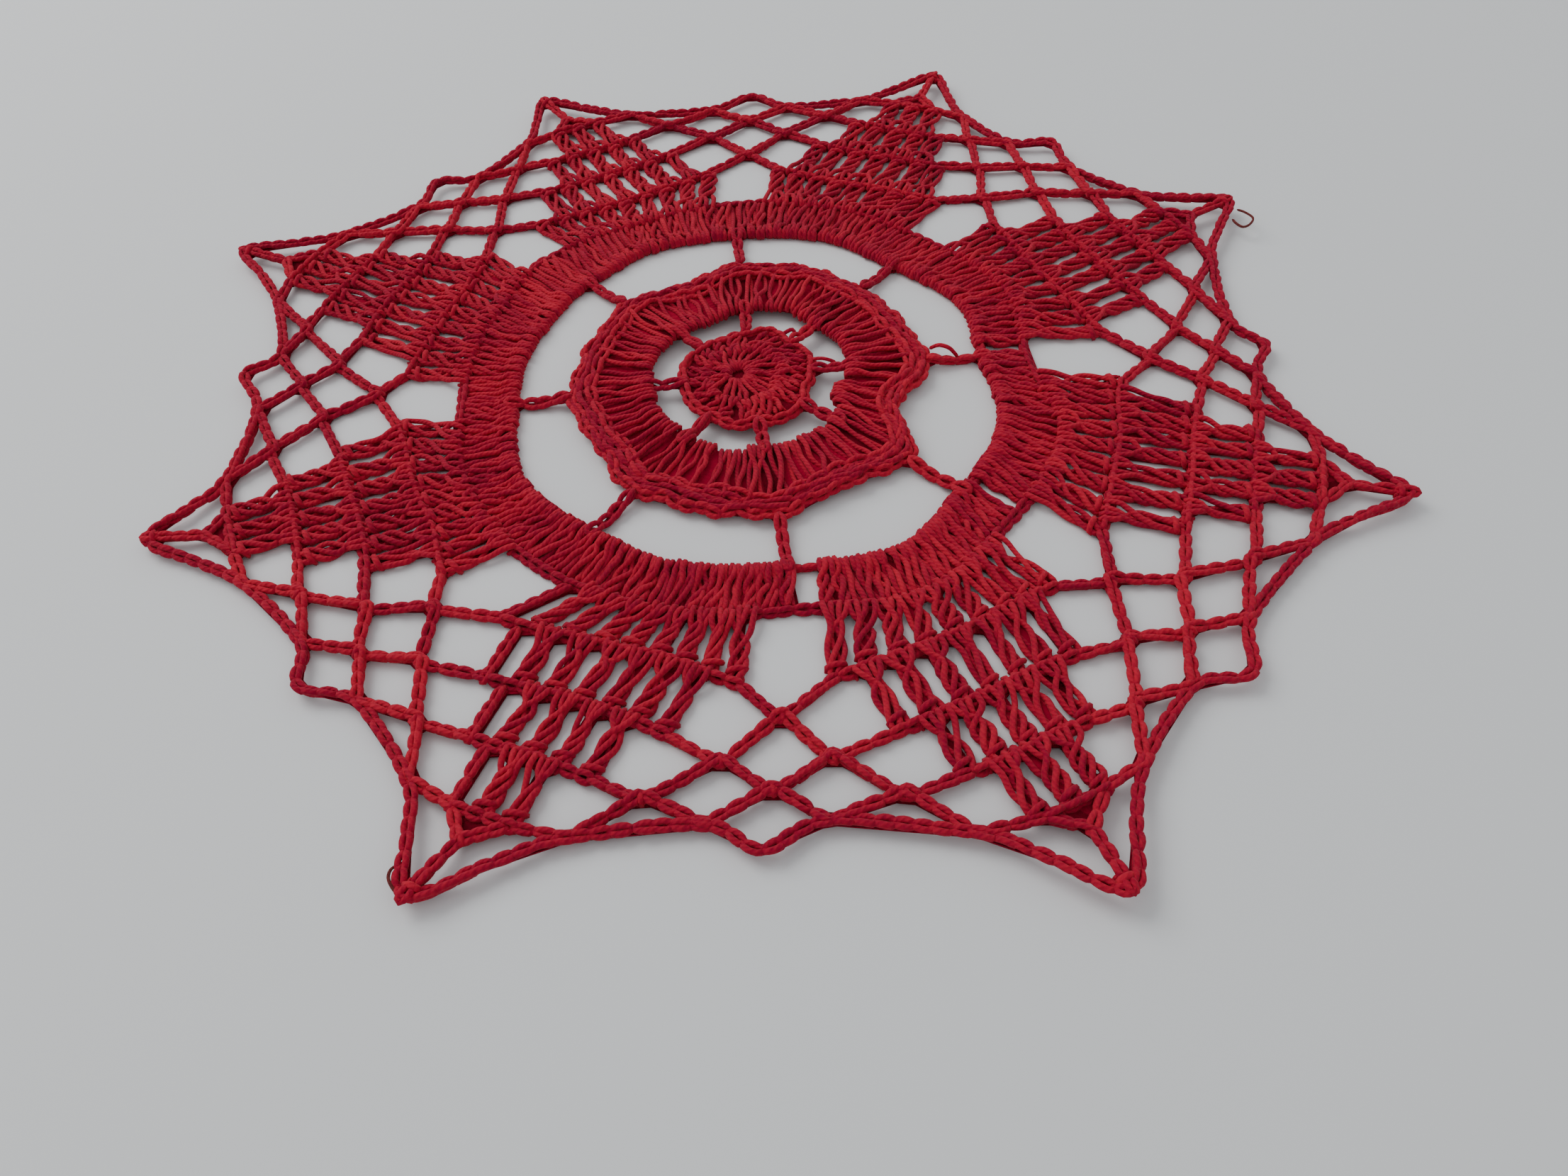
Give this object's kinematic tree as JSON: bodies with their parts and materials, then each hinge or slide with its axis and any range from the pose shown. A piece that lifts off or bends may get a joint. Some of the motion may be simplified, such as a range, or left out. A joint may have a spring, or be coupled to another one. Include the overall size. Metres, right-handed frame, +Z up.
{
  "type": "lace doily",
  "caption": "Round crocheted lace doily, a red star with fan-shaped petals and diamond net between them, lying flat.",
  "frame": {"origin": "bottom centre of the box around the doily, on the surface that it lies on", "axes": "+Z up off that surface, with -Y towards the near side of the doily as pictured, in the middle of a gap of net"},
  "size_m": [0.2418, 0.2428, 0.0049],
  "materials": {
    "cotton": "matt mercerised cotton yarn, crocheted"
  },
  "bodies": {
    "root": {"doily": "cotton"}
  },
  "joints": []
}
